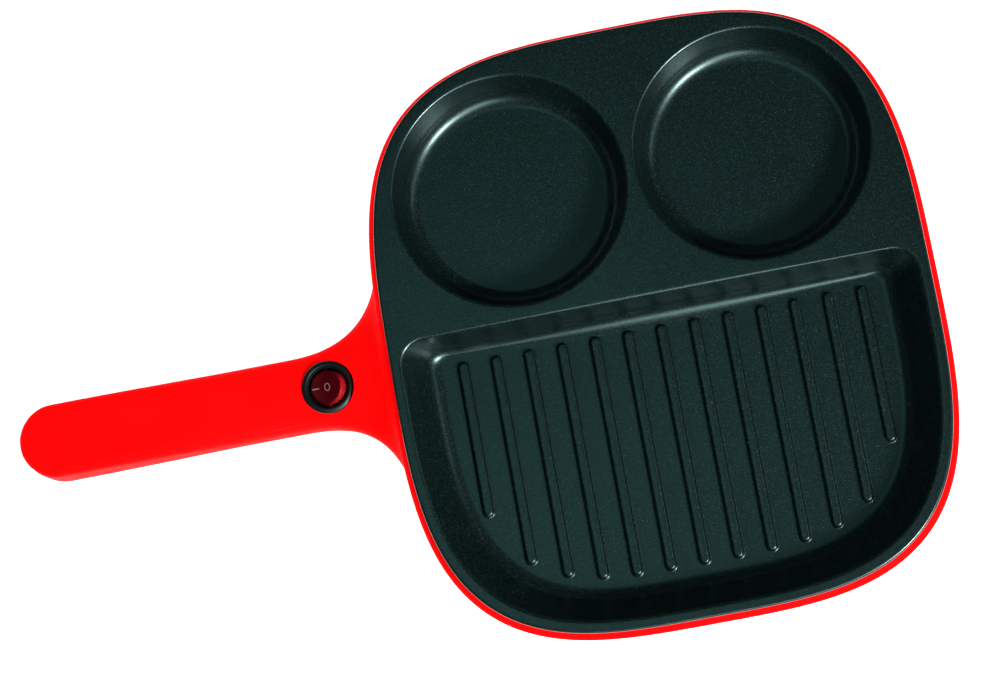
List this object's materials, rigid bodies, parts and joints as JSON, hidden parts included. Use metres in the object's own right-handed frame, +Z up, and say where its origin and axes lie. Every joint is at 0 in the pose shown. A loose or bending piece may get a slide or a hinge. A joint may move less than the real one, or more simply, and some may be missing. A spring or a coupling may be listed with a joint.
{
  "type": "electric griddle",
  "caption": "Griddle whose cast plate holds round wells and a ribbed well, in a plastic body on feet with a long side handle that carries a rocker switch and a mains inlet.",
  "frame": {"origin": "centre of the overall box, on the surface the feet stand on", "axes": "+X from the handle's tip to the far side of the body, +Y towards the round wells, +Z up"},
  "size_m": [0.4032, 0.2602, 0.062],
  "materials": {
    "plate_coating": "dark speckled non-stick coating, satin",
    "red_plastic": "glossy moulded red",
    "black_plastic": "satin moulded black",
    "red_lens": "translucent dark red",
    "white_plastic": "moulded white",
    "rubber_black": "matt",
    "silicone": "matt grey silicone",
    "steel": "zinc-plated",
    "element_steel": "heat-stained sheath",
    "reflector_sheet": "bright rolled sheet",
    "ceramic_white": "unglazed",
    "brass": "plain",
    "lamp_glass": "clear with an orange glow",
    "wire_brown": "silicone insulation",
    "wire_blue": "silicone insulation",
    "wire_green": "green-yellow insulation",
    "wire_white": "glass-fibre sleeve"
  },
  "bodies": {
    "griddle": {"cooking_plate": "plate_coating", "plate_seal": "silicone", "top_housing": "red_plastic", "bottom_housing": "red_plastic", "rubber_feet": "rubber_black", "heating_element": "element_steel", "element_insulators": "ceramic_white", "element_pins": "steel", "element_clips": "steel", "clip_screws": "steel", "heat_reflector": "reflector_sheet", "ceramic_spacers": "ceramic_white", "plate_screws": "steel", "thermostat": "ceramic_white", "thermostat_tabs": "brass", "thermostat_bracket": "steel", "thermostat_screws": "steel", "thermal_fuse": "steel", "fuse_clip": "steel", "fuse_screw": "steel", "switch_body": "black_plastic", "switch_terminals": "brass", "indicator_lamp": "lamp_glass", "inlet_housing": "black_plastic", "inlet_pins": "brass", "handle_screws": "steel", "live_wire": "wire_brown", "neutral_wire": "wire_blue", "earth_wire": "wire_green", "heater_lead": "wire_brown", "fuse_lead": "wire_white", "earth_screw": "brass"},
    "rocker": {"switch_rocker": "red_lens", "rocker_plunger": "white_plastic", "rocker_spring": "steel"},
    "blade": {"contact_blade": "brass"}
  },
  "joints": [
    {"name": "rocker_tilt", "type": "hinge", "parent": "griddle", "child": "rocker", "pos_m": [-0.062, 0, 0.0442], "axis": [0, 1, 0], "range_deg": [0, 20]},
    {"name": "blade_tilt", "type": "hinge", "parent": "griddle", "child": "blade", "pos_m": [-0.062, 0, 0.0363], "axis": [0, 1, 0], "range_deg": [-8, 0]}
  ],
  "couplings": [
    {"joint": "blade_tilt", "follows": "rocker_tilt", "ratio": -0.4}
  ]
}
